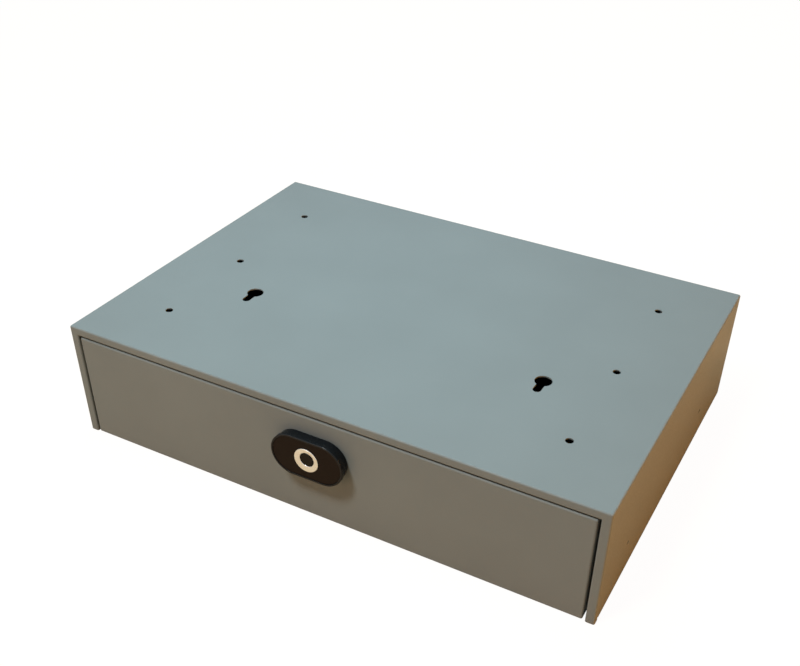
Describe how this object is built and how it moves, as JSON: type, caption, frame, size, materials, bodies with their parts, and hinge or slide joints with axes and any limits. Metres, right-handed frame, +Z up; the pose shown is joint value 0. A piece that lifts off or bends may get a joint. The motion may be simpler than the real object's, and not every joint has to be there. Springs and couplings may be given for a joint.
{
  "type": "under desk drawer",
  "caption": "Folded steel drawer unit that hangs under a desk, with a sliding tray on ball-bearing slides and a finger-touch lock.",
  "frame": {"origin": "middle of the bounding box, at its bottom", "axes": "+X to the right along the width, -Y out of the drawer's front, +Z up towards the desk"},
  "size_m": [0.4, 0.2886, 0.09],
  "materials": {
    "powder_coat": "satin grey powder coat with a fine grain",
    "galvanised": "bright zinc plated steel",
    "ball_steel": "polished steel",
    "zinc_screw": "zinc plated",
    "black_rubber": "matt",
    "black_paint": "satin black",
    "black_gloss": "gloss black",
    "chrome": "polished",
    "sensor_glass": "smooth dark",
    "grey_plastic": "moulded",
    "board_green": "solder resist",
    "cell_wrap": "shrink wrap",
    "nylon": "natural nylon"
  },
  "bodies": {
    "case": {"case_shell": "powder_coat", "case_back": "powder_coat", "strike_plate": "galvanised", "rail_outer_left": "galvanised", "rail_bumper_left": "black_rubber", "rail_screw_left_front": "zinc_screw", "rail_screw_left_rear": "zinc_screw", "rail_outer_right": "galvanised", "rail_bumper_right": "black_rubber", "rail_screw_right_front": "zinc_screw", "rail_screw_right_rear": "zinc_screw"},
    "drawer": {"drawer_tray": "powder_coat", "drawer_front": "powder_coat", "rail_inner_left": "galvanised", "tray_screw_left_front": "zinc_screw", "tray_screw_left_rear": "zinc_screw", "front_nut_left_lower": "zinc_screw", "front_nut_left_upper": "zinc_screw", "lock_screw_left": "zinc_screw", "cover_screw_left_lower": "zinc_screw", "cover_screw_left_upper": "zinc_screw", "rail_inner_right": "galvanised", "tray_screw_right_front": "zinc_screw", "tray_screw_right_rear": "zinc_screw", "front_nut_right_lower": "zinc_screw", "front_nut_right_upper": "zinc_screw", "lock_screw_right": "zinc_screw", "cover_screw_right_lower": "zinc_screw", "cover_screw_right_upper": "zinc_screw", "lock_escutcheon": "black_paint", "lock_face_plate": "black_gloss", "lock_ring": "chrome", "lock_sensor": "sensor_glass", "lock_chassis": "grey_plastic", "lock_circuit_board": "board_green", "lock_motor": "galvanised", "lock_battery": "cell_wrap", "lock_cover": "grey_plastic"},
    "cage_left": {"rail_cage_left": "ball_steel"},
    "cage_right": {"rail_cage_right": "ball_steel"},
    "bolt": {"lock_bolt": "galvanised"},
    "pinion": {"lock_pinion": "nylon"}
  },
  "joints": [
    {"name": "drawer_slide", "type": "slide", "parent": "case", "child": "drawer", "axis": [0, -1, 0], "range_m": [0, 0.18]},
    {"name": "cage_left_slide", "type": "slide", "parent": "case", "child": "cage_left", "axis": [0, -1, 0], "range_m": [0, 0.09]},
    {"name": "cage_right_slide", "type": "slide", "parent": "case", "child": "cage_right", "axis": [0, -1, 0], "range_m": [0, 0.09]},
    {"name": "bolt_slide", "type": "slide", "parent": "drawer", "child": "bolt", "axis": [0, 0, 1], "range_m": [0, 0.007]},
    {"name": "pinion_turn", "type": "hinge", "parent": "drawer", "child": "pinion", "pos_m": [-0.0045, -0.11031, 0.055], "axis": [-1, 0, 0], "range_deg": [0, 100.5]}
  ],
  "couplings": [
    {"joint": "cage_left_slide", "follows": "drawer_slide", "ratio": 0.5},
    {"joint": "cage_right_slide", "follows": "drawer_slide", "ratio": 0.5},
    {"joint": "pinion_turn", "follows": "bolt_slide", "rad_per_m": 250}
  ]
}
